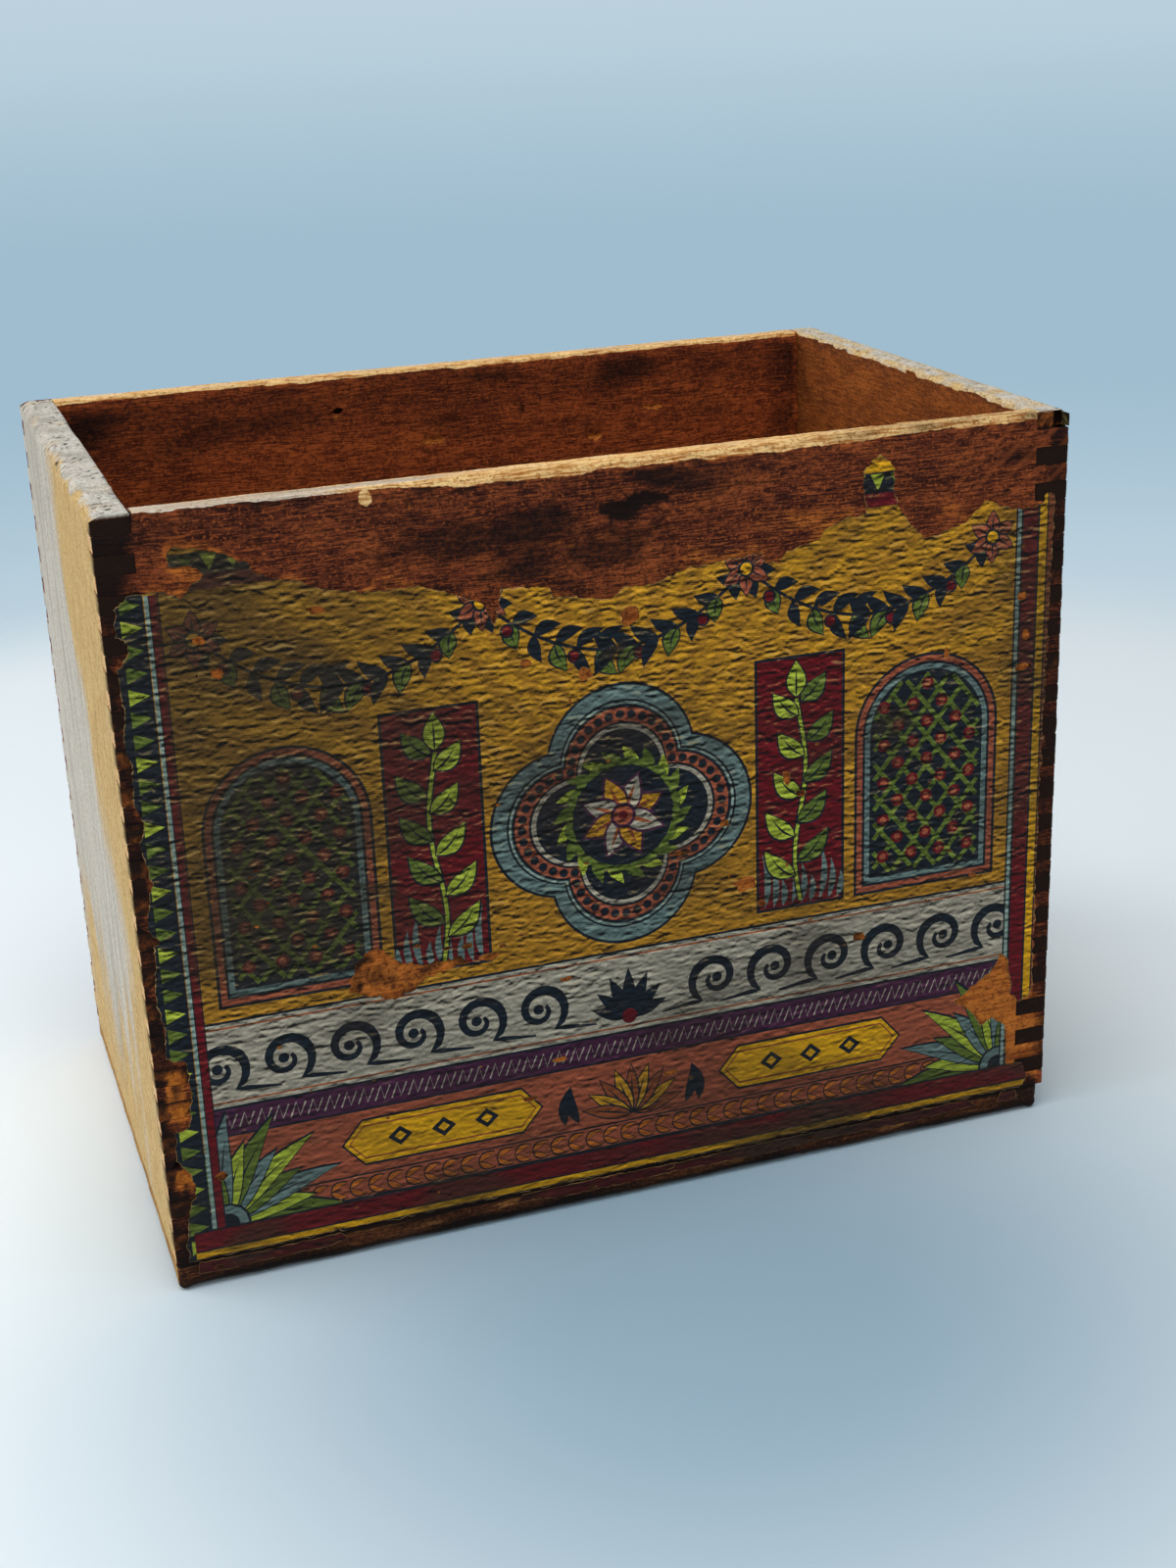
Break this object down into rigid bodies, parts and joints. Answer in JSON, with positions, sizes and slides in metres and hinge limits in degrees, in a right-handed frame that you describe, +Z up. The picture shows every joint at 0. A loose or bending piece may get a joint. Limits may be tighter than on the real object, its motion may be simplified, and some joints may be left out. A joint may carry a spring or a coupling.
{
  "type": "wooden spice box",
  "caption": "Open rectangular wooden packing box with finger-jointed corners, a nailed-on bottom board and a torn paper label on the front.",
  "frame": {"origin": "middle of the underside of the bottom board", "axes": "+X along the front from the left end to the right end, +Y from the labelled front to the back, +Z up"},
  "size_m": [0.256, 0.1593, 0.208],
  "materials": {
    "aged_side_wood": "planed softwood, aged red brown, dry",
    "pale_end_wood": "planed softwood, pale straw, dry and dusty",
    "dark_bottom_wood": "planed softwood, dark, edges worn",
    "nail_iron": "drawn iron wire, rusted dull",
    "printed_paper": "colour-printed paper, varnish dulled, crinkled and torn"
  },
  "bodies": {
    "root": {"front_board": "aged_side_wood", "back_board": "aged_side_wood", "left_end_board": "pale_end_wood", "right_end_board": "pale_end_wood", "bottom_board": "dark_bottom_wood", "bottom_nails": "nail_iron", "front_label": "printed_paper", "base_label_strip": "printed_paper"}
  },
  "joints": []
}
